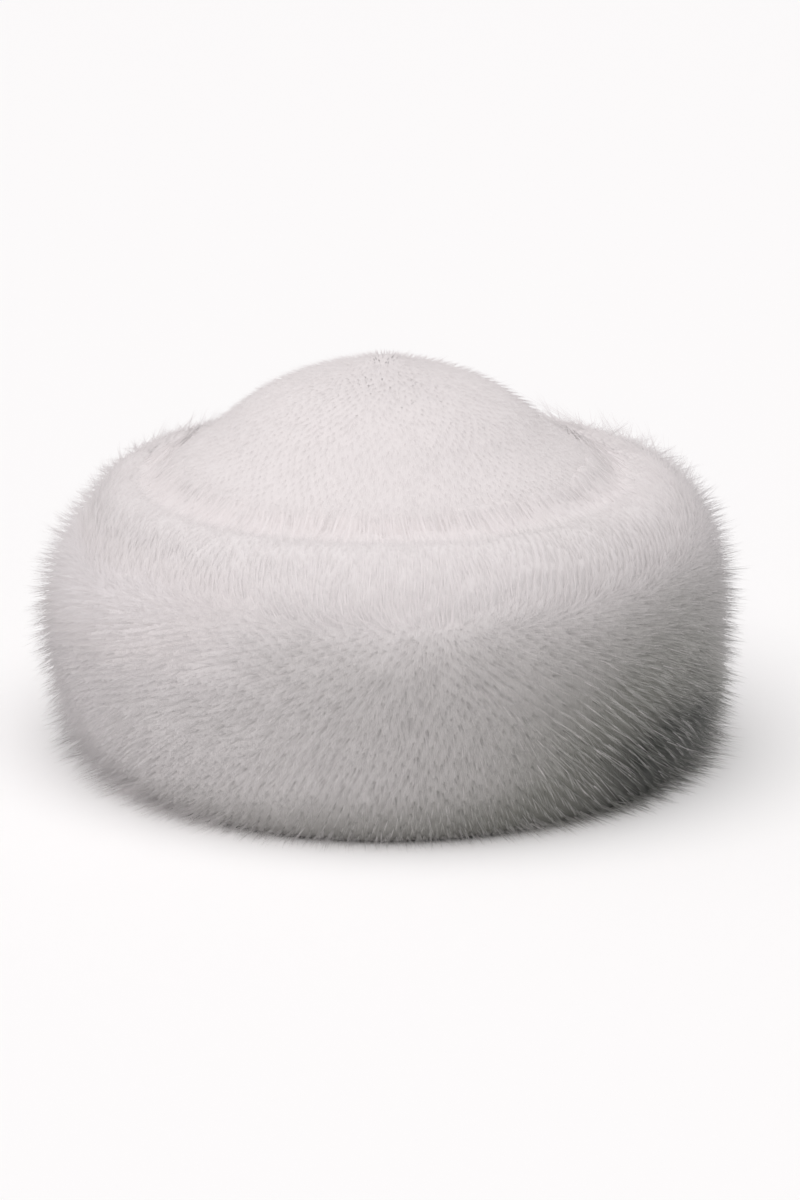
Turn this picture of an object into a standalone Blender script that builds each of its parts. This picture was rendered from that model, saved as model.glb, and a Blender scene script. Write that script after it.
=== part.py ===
"""Fur roller hat: a domed crown in short fur, and a deep fur cuff rolled round it.

The hat stands on its cuff, with z = 0 where it rests, x across the head and -y to the front.
A place on it is an angle round the head, 0 at the front and 90 degrees on the wearer's left,
a distance out from the head opening, and a height.
"""
import math

import bpy
import numpy as np

# The head opening: an oval of 570 mm round, which is a medium size.
HEAD_HALF_WIDTH = 0.084
HEAD_HALF_DEPTH = 0.098

# The crown: a cap of pelt, skin inwards, with a short pile over its dome.
CROWN_WALL = 0.003
CROWN_PILE = 0.013
CROWN_RIM_HEIGHT = 0.014
PILE_STARTS = 0.084
PILE_FULL = 0.094
DOME_CENTRE = 0.1233
DOME_RISE = 0.073
PEAK_TUFT_RISE = 0.005
PEAK_TUFT_RADIUS = 0.018
CROWN_COLUMNS = 56
DOME_ROWS = 16
DOME_INNER_ROWS = 7

# The cuff: a roll of long fur. Its section is a rounded oblong, fuller or slacker round the hat.
CUFF_HALF_THICKNESS = 0.0474
CUFF_HALF_HEIGHT = 0.0715
CUFF_SINK = 0.002
CUFF_FOOT_FULLNESS = 4.0
CUFF_GAP = 0.00035
CUFF_COLUMNS = 148
CUFF_UNDER_ROWS = 4
CUFF_SHOWN_ROWS = 23
SECTION_STEPS = 400
# angle round the head in degrees, reach out from the opening, and the fullness of three corners
# of the section: outer upper, outer lower and inner upper. 2 is an ellipse, and more is squarer.
CUFF_SECTIONS = (
    (0, 0.0950, 1.90, 4.3, 2.0),
    (90, 0.0892, 2.50, 4.6, 3.0),
    (180, 0.0940, 2.05, 3.2, 2.8),
    (270, 0.0880, 1.65, 1.95, 2.6),
)

# Locks of fur. Each is a ridge of three points between two furrows: its tip, its middle and
# its root, which lies under the tip of the lock above.
LOCK_LIFT = (1.0, 0.5, -0.7)
LOCK_SLIDE = (1.0, 0.45, 0.0)
LOCK_VARIES = 0.4
LOCK_SWAY = 0.4
# On the cuff they fade out at the floor and at the crease.
CUFF_LOCK_RISE = 0.0034
CUFF_LOCK_LEAN = 0.0060
LOCKS_CLEAR_FLOOR = 0.004
LOCKS_FULL_HEIGHT = 0.020
LOCKS_CLEAR_CREASE = 0.008
LOCKS_FULL_FROM_CREASE = 0.030
# On the crown they are low, and they fade out at the cuff and round the peak.
PILE_LOCK_RISE = 0.0010
PILE_LOCK_LEAN = 0.0024
PILE_CLEARS_CUFF = 0.136
PILE_FULL_HEIGHT = 0.146
PEAK_SMOOTH_RADIUS = 0.020
PEAK_COMBED_RADIUS = 0.045

PILE_WHITE = (0.88, 0.81, 0.78, 1.0)
FUR_WHITE = (0.86, 0.80, 0.79, 1.0)
FUR_ROUGHNESS = 0.85
SHARP_EDGE = math.radians(35)


def clear_scene():
    """Removes what a new Blender file holds."""
    for obj in list(bpy.data.objects):
        bpy.data.objects.remove(obj)


def fur_material(name, colour):
    """A matt, slightly warm white."""
    material = bpy.data.materials.new(name)
    material.use_nodes = True
    shader = material.node_tree.nodes["Principled BSDF"]
    shader.inputs["Base Color"].default_value = colour
    shader.inputs["Roughness"].default_value = FUR_ROUGHNESS
    shader.inputs["Metallic"].default_value = 0.0
    return material


def add_solid(name, points, faces, material):
    """One named object from its points and triangles, with its lock edges left sharp."""
    mesh = bpy.data.meshes.new(name)
    mesh.from_pydata([tuple(point) for point in points], [], faces)
    mesh.materials.append(material)
    mesh.shade_smooth()
    mesh.set_sharp_from_angle(angle=SHARP_EDGE)
    obj = bpy.data.objects.new(name, mesh)
    bpy.context.scene.collection.objects.link(obj)


def oval(angles, out):
    """x and y at a distance out from the head opening, where its outward normal has that angle."""
    across, front = np.sin(angles), -np.cos(angles)
    support = np.hypot(HEAD_HALF_WIDTH * across, HEAD_HALF_DEPTH * front)
    x = HEAD_HALF_WIDTH**2 * across / support + out * across
    y = HEAD_HALF_DEPTH**2 * front / support + out * front
    return x, y


def ring(angles, out, height):
    """Points all round the hat at one distance out from the head opening and one height."""
    return np.stack([*oval(angles, out), np.full_like(angles, height)], 1)


def angles_round(columns):
    """Even angles round the head."""
    return np.arange(columns) * 2 * math.pi / columns


def smooth_step(value, low, high):
    """0 up to low, 1 from high on, and an S-curve between them."""
    share = np.clip((value - low) / (high - low), 0.0, 1.0)
    return share * share * (3 - 2 * share)


def comb(rows, columns, seed):
    """How far each point of a fur surface stands out, slides down the hair's way and sways
    aside, as shares. Odd columns are the furrows, and each lock starts at a height of its own."""
    chance = np.random.default_rng(seed)
    row, column = np.indices((rows, columns))
    place = (row + chance.integers(0, len(LOCK_LIFT), columns)) % len(LOCK_LIFT)
    varied = 1 + LOCK_VARIES * chance.uniform(-1, 1, (rows, columns))
    ridge = column % 2 == 0
    lift = np.where(ridge, np.array(LOCK_LIFT)[place], -1.0) * varied
    slide = np.where(ridge, np.array(LOCK_SLIDE)[place], 0.0) * varied
    sway = LOCK_SWAY * chance.uniform(-1, 1, (rows, columns))
    return lift, slide, sway


def ring_triangles(rows, columns, closed):
    """Triangles of a grid that closes round the head, and round its section too if closed is
    true. Each square is cut from the ridge down to the furrow, so that locks point down."""
    faces = []
    for row in range(rows if closed else rows - 1):
        for column in range(columns):
            a = row * columns + column
            b = row * columns + (column + 1) % columns
            c = (row + 1) % rows * columns + (column + 1) % columns
            d = (row + 1) % rows * columns + column
            if column % 2 == 0:
                faces += [(a, b, d), (b, c, d)]
            else:
                faces += [(a, b, c), (a, c, d)]
    return faces


def dome(angles, out, rise, rows):
    """Rings of half an ellipsoid over the oval at that distance out, from its foot upwards."""
    edge_x, edge_y = oval(angles, out)
    rings = []
    for turn in np.linspace(0, math.pi / 2, rows + 1)[:-1]:
        height = np.full_like(angles, DOME_CENTRE + rise * math.sin(turn))
        rings.append(np.stack([edge_x * math.cos(turn), edge_y * math.cos(turn), height], 1))
    return rings


def crown_outside(angles):
    """Rings of the crown's outer side: up its bare wall, out over the pile, and the dome with
    the tuft on its peak."""
    pile_out = CROWN_WALL + CROWN_PILE
    rings = [
        ring(angles, CROWN_WALL, CROWN_RIM_HEIGHT),
        ring(angles, CROWN_WALL, PILE_STARTS),
        ring(angles, pile_out, PILE_FULL),
    ]
    rings = np.array(rings + dome(angles, pile_out, DOME_RISE, DOME_ROWS))
    spread = np.hypot(rings[..., 0], rings[..., 1])
    rings[..., 2] += PEAK_TUFT_RISE * np.exp(-((spread / PEAK_TUFT_RADIUS) ** 2))
    return rings


def comb_pile(rings):
    """Stands the dome's short pile out in low locks that lie away from the peak."""
    lift, slide, sway = (share[..., None] for share in comb(*rings.shape[:2], seed=5))
    spread = np.hypot(rings[..., 0], rings[..., 1])
    shown = smooth_step(rings[..., 2], PILE_CLEARS_CUFF, PILE_FULL_HEIGHT)
    shown = shown * smooth_step(spread, PEAK_SMOOTH_RADIUS, PEAK_COMBED_RADIUS)
    out = rings - np.array([0.0, 0.0, DOME_CENTRE])
    out /= np.linalg.norm(out, axis=-1)[..., None]
    beside = (np.roll(rings, -1, axis=1) - np.roll(rings, 1, axis=1)) / 2
    up = np.cross(out, beside)
    up /= np.linalg.norm(up, axis=-1)[..., None]
    moved = out * lift * PILE_LOCK_RISE - up * slide * PILE_LOCK_LEAN + beside * sway
    return rings + shown[..., None] * moved


def crown_shape():
    """The cap: an open hollow with a wall of pelt, thickened by its pile over the dome."""
    angles = angles_round(CROWN_COLUMNS)
    outside = comb_pile(crown_outside(angles))
    inner_rise = DOME_RISE - CROWN_WALL - CROWN_PILE
    inside = [ring(angles, 0.0, CROWN_RIM_HEIGHT)] + dome(angles, 0.0, inner_rise, DOME_INNER_ROWS)
    peak = (0.0, 0.0, DOME_CENTRE + DOME_RISE + PEAK_TUFT_RISE)
    hollow_top = (0.0, 0.0, DOME_CENTRE + inner_rise)
    points = [*np.concatenate(outside), peak, *np.concatenate(inside), hollow_top]

    peak_at = len(outside) * CROWN_COLUMNS
    inside_at = peak_at + 1
    hollow_top_at = len(points) - 1
    faces = ring_triangles(len(outside), CROWN_COLUMNS, closed=False)
    for a, b, c in ring_triangles(len(inside), CROWN_COLUMNS, closed=False):
        faces.append((inside_at + a, inside_at + c, inside_at + b))
    for column in range(CROWN_COLUMNS):
        beside = (column + 1) % CROWN_COLUMNS
        last_out, last_in = peak_at - CROWN_COLUMNS, hollow_top_at - CROWN_COLUMNS
        faces.append((last_out + column, last_out + beside, peak_at))
        faces.append((last_in + column, hollow_top_at, last_in + beside))
        faces.append((inside_at + column, inside_at + beside, beside))
        faces.append((inside_at + column, beside, column))
    return np.array(points), faces


def cuff_table(angles):
    """Reach and the three fullnesses at each angle, eased between the rows of the table."""
    rows = np.array(CUFF_SECTIONS)
    turn = np.degrees(angles) / (360 / len(rows))
    before = np.floor(turn).astype(int) % len(rows)
    share = smooth_step(turn - np.floor(turn), 0.0, 1.0)[:, None]
    return rows[before, 1:] * (1 - share) + rows[(before + 1) % len(rows), 1:] * share


def cuff_section(reach, outer_upper, outer_lower, inner_upper):
    """The cuff's section as points (out, height): from its foot at the wall, under, up the
    outside and over the top to the crease with the crown. The outline is |x|^n + |z|^n = 1
    with its own n in each quarter. Few points lie under it, and the others are evenly spaced.
    Returned with them: how far each is along the section from the crease."""
    middle = reach - CUFF_HALF_THICKNESS
    foot = (middle - CROWN_WALL - CUFF_GAP) / CUFF_HALF_THICKNESS
    crease = (middle - CROWN_WALL - CROWN_PILE - CUFF_GAP) / CUFF_HALF_THICKNESS
    start = math.acos(foot ** (CUFF_FOOT_FULLNESS / 2)) - math.pi
    end = math.pi - math.acos(crease ** (inner_upper / 2))
    turn = np.linspace(start, end, SECTION_STEPS)
    across, along = np.cos(turn), np.sin(turn)
    upper = np.where(across > 0, outer_upper, inner_upper)
    lower = np.where(across > 0, outer_lower, CUFF_FOOT_FULLNESS)
    power = 2 / np.where(along > 0, upper, lower)
    out = middle + CUFF_HALF_THICKNESS * np.sign(across) * np.abs(across) ** power
    height = CUFF_HALF_HEIGHT * (1 + np.sign(along) * np.abs(along) ** power) - CUFF_SINK
    travelled = np.concatenate([[0.0], np.cumsum(np.hypot(np.diff(out), np.diff(height)))])
    lowest = travelled[height.argmin()]
    under = np.linspace(0, lowest, CUFF_UNDER_ROWS + 1)[:-1]
    steps = np.concatenate([under, np.linspace(lowest, travelled[-1], CUFF_SHOWN_ROWS)])
    section = np.array([np.interp(steps, travelled, out), np.interp(steps, travelled, height)])
    return section, travelled[-1] - steps


def cuff_inside(foot_height, crease_height):
    """The cuff's hidden side as points (out, height), from under the crease to the foot."""
    slim, wide = CROWN_WALL + CUFF_GAP, CROWN_WALL + CROWN_PILE + CUFF_GAP
    bend, shoulder = PILE_STARTS - CUFF_GAP, PILE_FULL - CUFF_GAP
    high, low = (crease_height + shoulder) / 2, (bend + foot_height) / 2
    return np.array(((wide, high), (wide, shoulder), (slim, bend), (slim, low))).T


def cuff_shape():
    """The roll of fur: a closed ring whose outer side stands out in leaning locks."""
    angles = angles_round(CUFF_COLUMNS)
    combed = comb(CUFF_UNDER_ROWS + CUFF_SHOWN_ROWS, CUFF_COLUMNS, seed=7)
    columns = []
    for column, values in enumerate(cuff_table(angles)):
        section, from_crease = cuff_section(*values)
        hidden = cuff_inside(section[1, 0], section[1, -1])
        up = np.gradient(section, axis=1)
        up /= np.linalg.norm(up, axis=0)
        outward = np.stack([up[1], -up[0]])
        shown = smooth_step(section[1], LOCKS_CLEAR_FLOOR, LOCKS_FULL_HEIGHT)
        shown *= smooth_step(from_crease, LOCKS_CLEAR_CREASE, LOCKS_FULL_FROM_CREASE)
        shown[:CUFF_UNDER_ROWS] = 0.0
        lift, slide, sway = (share[:, column] * shown for share in combed)
        section = section + outward * lift * CUFF_LOCK_RISE - up * slide * CUFF_LOCK_LEAN
        out, height = np.concatenate([section, hidden], axis=1)
        turned = np.full_like(out, angles[column])
        turned[: len(sway)] += sway * angles[1]
        columns.append(np.stack([*oval(turned, out), np.maximum(height, 0.0)], 1))
    points = np.stack(columns, axis=1)
    return points.reshape(-1, 3), ring_triangles(len(points), CUFF_COLUMNS, closed=True)


def main():
    """Builds both pieces, and centres the whole hat over the origin."""
    clear_scene()
    crown_points, crown_faces = crown_shape()
    cuff_points, cuff_faces = cuff_shape()
    centre = (cuff_points.min(0) + cuff_points.max(0)) / 2 * np.array([1.0, 1.0, 0.0])
    add_solid("crown", crown_points - centre, crown_faces, fur_material("crown_fur", PILE_WHITE))
    add_solid("cuff", cuff_points - centre, cuff_faces, fur_material("cuff_fur", FUR_WHITE))


main()
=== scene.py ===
# %% [markdown]
# # The finish of a fur roller hat
# The real hat is two pieces of pale long-haired fur: a domed crown, whose pile is short, and a
# deep cuff that is rolled round it and padded. Plain solids already give both their place and
# size. This notebook dresses them. Each solid gives way to a soft underfur of the same form, and
# tens of thousands of single hairs stand on that in tufts. Hair could also be a particle system
# or curves, but those don't travel to other programs, so here every hair is a small closed mesh.

# %% The frame, and the box that its solids fill
import math

import bpy
import numpy as np
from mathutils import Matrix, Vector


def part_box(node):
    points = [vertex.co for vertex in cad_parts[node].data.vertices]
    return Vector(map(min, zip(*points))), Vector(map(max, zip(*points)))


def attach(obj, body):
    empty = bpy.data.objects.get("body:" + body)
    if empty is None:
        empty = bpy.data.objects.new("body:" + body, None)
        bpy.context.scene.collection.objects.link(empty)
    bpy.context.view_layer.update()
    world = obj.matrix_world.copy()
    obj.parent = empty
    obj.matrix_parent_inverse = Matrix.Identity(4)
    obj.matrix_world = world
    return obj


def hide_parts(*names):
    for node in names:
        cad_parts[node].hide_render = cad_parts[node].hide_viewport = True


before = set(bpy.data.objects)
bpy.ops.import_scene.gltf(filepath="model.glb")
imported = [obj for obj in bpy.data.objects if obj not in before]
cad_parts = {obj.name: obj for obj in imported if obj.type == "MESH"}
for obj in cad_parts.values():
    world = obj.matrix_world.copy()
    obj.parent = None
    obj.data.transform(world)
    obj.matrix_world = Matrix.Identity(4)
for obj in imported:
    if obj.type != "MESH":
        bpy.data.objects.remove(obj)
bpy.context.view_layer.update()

# %% [markdown]
# ## Where the photographer stood
# The hat was photographed from the front, a little above, with a long lens. A camera on a circle
# round an aim point is easy to adjust: its height angle sets how far the crown rises behind the
# cuff, and its lens sets how large the hat is in the picture.

# %% The camera
ELEVATION = math.radians(15.4)
CAMERA_DISTANCE = 2.5
AIM = np.array([0.0072, 0.0, 0.072])
LENS = 147.3
SENSOR = 36.0
camera = bpy.data.objects.new("camera", bpy.data.cameras.new("camera"))
bpy.context.scene.collection.objects.link(camera)
camera.data.lens = LENS
camera.data.sensor_width = SENSOR
backwards = np.array([0.0, -math.cos(ELEVATION), math.sin(ELEVATION)])
camera.location = AIM + CAMERA_DISTANCE * backwards
camera.rotation_euler = (math.pi / 2 - ELEVATION, 0.0, 0.0)
bpy.context.scene.camera = camera
print("camera at", np.round(camera.location, 3).tolist())

# %% [markdown]
# ## Numbers that vary smoothly
# Fur is never even. Tone, lean and length drift over it in patches, and change again from tuft to
# tuft. One noise function gives all of these: random numbers at the corners of a grid of cubes,
# blended inside each cube. It takes whole arrays of points, so a hundred thousand hairs take a
# moment.

# %% Smooth steps, bells and smooth noise


def smooth_step(value, low, high):
    """0 up to low, 1 from high on, and an S-curve between them."""
    share = np.clip((value - low) / (high - low), 0.0, 1.0)
    return share * share * (3 - 2 * share)


def fading(value, low, high):
    """1 up to low, 0 from high on, and an S-curve between them."""
    return 1 - smooth_step(value, low, high)


def bell(value, middle, width):
    """1 at the middle, and down on both sides by the exponential of minus the square of the
    distance in widths."""
    return np.exp(-(((value - middle) / width) ** 2))


def corner_value(cells, seed):
    """A repeatable random number from -1 to 1 for each whole-number triple: the three numbers are
    multiplied by large primes, mixed by shifts, and cut to 24 bits."""
    word = np.uint64(0xFFFFFFFF)
    primes = np.array([73856093, 19349663, 83492791], np.uint64)
    mixed = (cells.astype(np.uint64) * primes).sum(-1) + np.uint64(seed * 2654435761)
    for shift in (15, 13):
        mixed = ((mixed & word) ^ ((mixed & word) >> np.uint64(shift))) * np.uint64(2246822519)
    return ((mixed >> np.uint64(9)) & np.uint64(0xFFFFFF)) / float(0x7FFFFF) - 1.0


def noise(points, size, seed):
    """Smooth values from -1 to 1 with bumps of that size: the random numbers at a cube's eight
    corners, weighted by an S-curve of the distance to each."""
    grid = points / size + 1000.0
    cell = np.floor(grid).astype(np.int64)
    share = grid - cell
    share = share * share * (3 - 2 * share)
    total = np.zeros(points.shape[:-1])
    for corner in np.ndindex(2, 2, 2):
        near = np.where(np.array(corner, bool), share, 1 - share).prod(-1)
        total += near * corner_value(cell + np.array(corner), seed)
    return total


sample = noise(np.random.default_rng(1).uniform(0, 1, (5000, 3)), 0.1, 1)
print("noise runs from %.2f to %.2f" % (sample.min(), sample.max()))

# %% [markdown]
# ## The form of the hat
# Every place on the hat is an angle round the head and a second number along its section. The
# head opening is an oval, and the cuff is a rounded oblong carried round that oval. Its section
# is a superellipse, |x|^n + |z|^n = 1, whose n differs in each quarter: 2 is an ellipse and more
# is squarer. A superellipse needs four numbers where a drawn outline would need dozens, and a
# short table lets it change round the hat, fuller on one side and slacker on the other.

# %% The head opening
HEAD_HALF_WIDTH = 0.084
HEAD_HALF_DEPTH = 0.098
crown_low, crown_high = (np.array(corner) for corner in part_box("crown"))
HEAD_AXIS = (crown_low + crown_high) / 2 * np.array([1.0, 1.0, 0.0])


def oval(angle, out):
    """x and y at a distance out from the head opening. The opening's edge point with outward
    normal n is (a^2 n_x, b^2 n_y) / |(a n_x, b n_y)|, and out times n is added to it."""
    across, front = np.sin(angle), -np.cos(angle)
    support = np.hypot(HEAD_HALF_WIDTH * across, HEAD_HALF_DEPTH * front)
    x = HEAD_HALF_WIDTH**2 * across / support + out * across
    y = HEAD_HALF_DEPTH**2 * front / support + out * front
    return x + HEAD_AXIS[0], y + HEAD_AXIS[1]


print("the head's axis is at", np.round(HEAD_AXIS[:2], 4).tolist())

# %% The cuff's section
CROWN_WALL = 0.003
CROWN_PILE = 0.013
CUFF_HALF_THICKNESS = 0.0474
CUFF_HALF_HEIGHT = 0.0715
CUFF_SINK = 0.002
CUFF_FOOT_FULLNESS = 4.0
GAP = 0.0005
# angle round the head in degrees, reach out from the opening, and the fullness of three corners
# of the section: outer upper, outer lower and inner upper
CUFF_SECTIONS = np.array([
    (0, 0.0950, 1.90, 4.3, 2.0),
    (90, 0.0892, 2.50, 4.6, 3.0),
    (180, 0.0940, 2.05, 3.2, 2.8),
    (270, 0.0880, 1.65, 1.95, 2.6),
])


def cuff_values(angle):
    """Reach and the three fullnesses at each angle, eased by an S-curve between table rows."""
    turn = np.degrees(angle) % 360 / (360 / len(CUFF_SECTIONS))
    before = np.floor(turn).astype(int) % len(CUFF_SECTIONS)
    share = smooth_step(turn - np.floor(turn), 0.0, 1.0)[..., None]
    after = (before + 1) % len(CUFF_SECTIONS)
    values = CUFF_SECTIONS[before, 1:] * (1 - share) + CUFF_SECTIONS[after, 1:] * share
    return np.moveaxis(values, -1, 0)


def section_corner(out, fullness, side):
    """The angle, seen from the section's middle, at which it reaches that distance out: its
    height there is H (1 - |out / T|^n)^(1 / n), above or below by side."""
    height = (1 - np.abs(out / CUFF_HALF_THICKNESS) ** fullness) ** (1 / fullness)
    return np.arctan2(side * CUFF_HALF_HEIGHT * height, out)


def cuff_point(angle, along):
    """A point on the cuff's fur, along its section from 0 at the foot, under the hat, over the
    outside and the top to 1 at the crease. In polar form the section's radius at angle t is
    (|cos t / T|^n + |sin t / H|^n)^(-1 / n)."""
    reach, outer_upper, outer_lower, inner_upper = cuff_values(angle)
    middle = reach - CUFF_HALF_THICKNESS
    foot = section_corner(CROWN_WALL + GAP - middle, CUFF_FOOT_FULLNESS, -1)
    crease = section_corner(CROWN_WALL + CROWN_PILE + GAP - middle, inner_upper, 1)
    turn = foot + along * (crease - foot)
    upper = np.where(np.abs(turn) < math.pi / 2, outer_upper, inner_upper)
    lower = np.where(np.abs(turn) < math.pi / 2, outer_lower, CUFF_FOOT_FULLNESS)
    n = np.where(turn > 0, upper, lower)
    wide = np.abs(np.cos(turn) / CUFF_HALF_THICKNESS)
    tall = np.abs(np.sin(turn) / CUFF_HALF_HEIGHT)
    radius = (wide**n + tall**n) ** (-1 / n)
    x, y = oval(angle, middle + radius * np.cos(turn))
    z = CUFF_HALF_HEIGHT - CUFF_SINK + radius * np.sin(turn)
    return np.stack([x, y, np.maximum(z, 0.0)], -1)


front = cuff_point(np.zeros(5), np.linspace(0, 1, 5))
print("the cuff's front, from foot to crease:", np.round(front[:, 1:], 3).tolist())

# %% The cuff's fur, which fills the ditch at the crease
RIDGE_HEIGHT = 0.141
DITCH_FILLED = 0.90
DITCH_ZONE = (0.80, 0.94)
CREASE_RISE = 0.0115
CREASE_ZONE = (0.925, 1.0)


def cuff_fur(angle, along):
    """The cuff's surface with its ditch filled: near the crease, most of what it lacks to the
    ridge's height is added to z, and against the crown it climbs the crown's foot by an S-curve."""
    point = cuff_point(angle, along)
    lacks = np.maximum(RIDGE_HEIGHT - point[..., 2], 0.0)
    point[..., 2] += DITCH_FILLED * lacks * smooth_step(along, *DITCH_ZONE)
    point[..., 2] += CREASE_RISE * smooth_step(along, *CREASE_ZONE)
    return point


print("the filled crease is at height", cuff_fur(np.zeros(1), np.ones(1))[0, 2].round(4))

# %% The crown's dome
DOME_CENTRE = 0.1233
DOME_RISE = 0.073
PEAK_TUFT_RISE = 0.005
PEAK_TUFT_RADIUS = 0.018
FOOT_FLARE = 0.017
FLARE_OPENS = (0.0, 0.09)
FLARE_CLOSES = (0.10, 0.42)


def crown_point(angle, along):
    """A point on the crown's fur, from 0 at the dome's foot to 1 at its peak: half an ellipsoid
    over the oval, with a small bell-shaped rise in the middle. Low down its fur flares out over
    the cuff, by an S-curve up and a longer one down."""
    turn = along * math.pi / 2
    flare = FOOT_FLARE * smooth_step(along, *FLARE_OPENS) * fading(along, *FLARE_CLOSES)
    x, y = oval(angle, CROWN_WALL + CROWN_PILE + flare)
    x = HEAD_AXIS[0] + (x - HEAD_AXIS[0]) * np.cos(turn)
    y = HEAD_AXIS[1] + (y - HEAD_AXIS[1]) * np.cos(turn)
    spread = np.hypot(x - HEAD_AXIS[0], y - HEAD_AXIS[1])
    tuft = PEAK_TUFT_RISE * bell(spread, 0.0, PEAK_TUFT_RADIUS)
    return np.stack([x, y, DOME_CENTRE + DOME_RISE * np.sin(turn) + tuft], -1)


print("the peak is at height", round(float(crown_point(np.zeros(1), np.ones(1))[0, 2]), 4))

# %% [markdown]
# ## Placing hairs on a surface
# A hair needs to know which way is out, which way is up along the section and which way is round
# the head. All three come from the surface function itself, by asking for two points close
# together. To spread tufts evenly, a fair share of them goes to each strip of the section by its
# area, and the golden ratio keeps neighbours apart better than chance would.

# %% Directions on a surface, and even places on it
STEP = 1e-4
LEAST_TURN = 0.012
FOOT_ALONG = 0.10
AREA_ROWS = 400
AREA_COLUMNS = 361


def unit(vectors):
    """The same directions, each one metre long."""
    return vectors / np.linalg.norm(vectors, axis=-1, keepdims=True)


def directions(surface, angle, along):
    """The point and three unit vectors there: round the head, up the section and outwards. The
    first two are differences of nearby points, and the third is their cross product."""
    inner = np.clip(along, 2 * STEP, 1 - 2 * STEP)
    round_head = surface(angle + STEP, inner) - surface(angle - STEP, inner)
    up = surface(angle, inner + STEP) - surface(angle, inner - STEP)
    round_head = unit(round_head)
    out = unit(np.cross(round_head, up))
    return surface(angle, along), round_head, np.cross(out, round_head), out


def shifted(surface, angle, along, across, upwards):
    """The surface's point that lies that many metres round the head and up the section from a
    place. Each distance is divided by how far the surface moves there for one unit of its
    number. Up the section, moves shorten towards the end by 1 - exp(-x), so that none passes it."""
    inner = np.clip(along, 2 * STEP, 1 - 2 * STEP)
    wide = np.linalg.norm(surface(angle + STEP, inner) - surface(angle - STEP, inner), axis=-1)
    tall = np.linalg.norm(surface(angle, inner + STEP) - surface(angle, inner - STEP), axis=-1)
    wide, tall = np.maximum(wide / STEP / 2, LEAST_TURN), tall / STEP / 2
    left, move = 1 - inner, upwards / tall
    eased = np.where(move > 0, left * (1 - np.exp(-np.maximum(move, 0) / left)), move)
    return surface(angle + across / wide, np.clip(along + eased, FOOT_ALONG, 1.0))


def even_places(surface, count, low, high, seed):
    """Angles and section numbers of places spread evenly by area: the k-th one takes the k-th
    equal share of the area along the section, and turns on round the head by the golden ratio
    of a full turn, measured along the cuff's rim so that the oval's ends get no more."""
    golden = (math.sqrt(5) - 1) / 2
    rows, columns = np.linspace(low, high, AREA_ROWS), np.linspace(0, 2 * math.pi, AREA_COLUMNS)
    grid = surface(*np.meshgrid(columns, rows))
    round_head = np.linalg.norm(np.diff(grid, axis=1), axis=-1)
    along_section = np.linalg.norm(np.diff(grid, axis=0), axis=-1)
    strip = round_head[:-1].mean(1) * along_section.mean(1)
    filled = np.concatenate([[0.0], np.cumsum(strip)])
    along = np.interp((np.arange(count) + 0.5) / count * filled[-1], filled, rows)
    rim = np.concatenate([[0.0], np.cumsum(round_head.mean(0))])
    share = (np.arange(count) * golden + np.random.default_rng(seed).uniform()) % 1.0
    return np.interp(share * rim[-1], rim, columns), along, filled[-1]


places = even_places(cuff_fur, 1000, 0.2, 1.0, 1)
print("the cuff's fur covers %.3f square metres" % places[2])

# %% [markdown]
# ## How the fur lies
# The cuff's fur is combed down over the roll and away from the middle of the front, so that it
# fans out to both sides. On the crest it lies flatter, and inside it, towards the crown. At the
# floor it turns level. The crown's pile lies away from the tuft at the top. Light is painted into
# the tone on the wearer's right, and lower down the fur is darker, partly by its own smoke and
# partly by painted shade, most of all on the wearer's left. Hair could be combed by hand, but
# formulas are easier to change. One function for each piece gives all this for whole arrays of
# places.

# %% How the cuff's fur is combed
RIDGE_LEAN = math.radians(60)
ROLL_LEAN = math.radians(58)
ROLL_HEIGHTS = (0.077, 0.122)
FLOOR_HEIGHTS = (0.002, 0.030)
FLOOR_LEVEL = 0.9
FLOOR_UPRIGHT = 0.35
FAN_AT = math.radians(12)
FAN_SHARE = 1.25
FAN_FRONT = 0.4
DOWN_LEAST = 0.15
DOWN_LOW = 0.70
DOWN_BACK = 0.2
DOWN_HEIGHTS = (0.025, 0.105)
CREST_LEAN = math.radians(74)
CREST_ZONE = (0.66, 0.84)
CREST_PARTING = (-0.6, 0.5)
INSIDE_CREST = (0.82, 0.92)
WHORL = (-0.3, 0.35)


def cuff_comb(height, angle, along, out):
    """The direction that the fur stands out in, how far hair leans from it, and which way it
    leans: 0 is down the section and a quarter turn is round the head. Near the floor the first
    turns level. The fan is a sine of the angle. The front's crest is combed to the crown, the
    back's away from it, and inside the crest all hair lies towards the crown. S-curves blend
    these, and where no way wins, at the fan's middle, hair stands more upright."""
    level = (fading(height, *FLOOR_HEIGHTS) * (out[..., 2] < 0))[..., None]
    sideways = np.stack([np.sin(angle), -np.cos(angle), 0 * angle], -1)
    out = unit(out + (sideways - out) * FLOOR_LEVEL * level)
    crest = smooth_step(along, *CREST_ZONE)
    lean = RIDGE_LEAN + (ROLL_LEAN - RIDGE_LEAN) * fading(height, *ROLL_HEIGHTS)
    lean = lean * (1 - FLOOR_UPRIGHT * level[..., 0]) + (CREST_LEAN - RIDGE_LEAN) * crest
    fan = angle - FAN_AT
    aside = FAN_SHARE * np.sin(fan) * (1 - FAN_FRONT + FAN_FRONT * np.cos(fan))
    down = DOWN_LEAST + DOWN_LOW * fading(height, *DOWN_HEIGHTS) + DOWN_BACK * (1 - np.cos(fan))
    inwards = smooth_step(np.cos(angle), *CREST_PARTING)
    inwards = math.pi * (inwards + (1 - inwards) * smooth_step(along, *INSIDE_CREST))
    aside = aside + (np.sin(inwards) * np.sign(np.sin(angle)) - aside) * crest
    down = down + (np.cos(inwards) - down) * crest
    lean = lean * smooth_step(np.hypot(aside, down), *WHORL)
    return out, lean, np.arctan2(aside, down)


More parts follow.
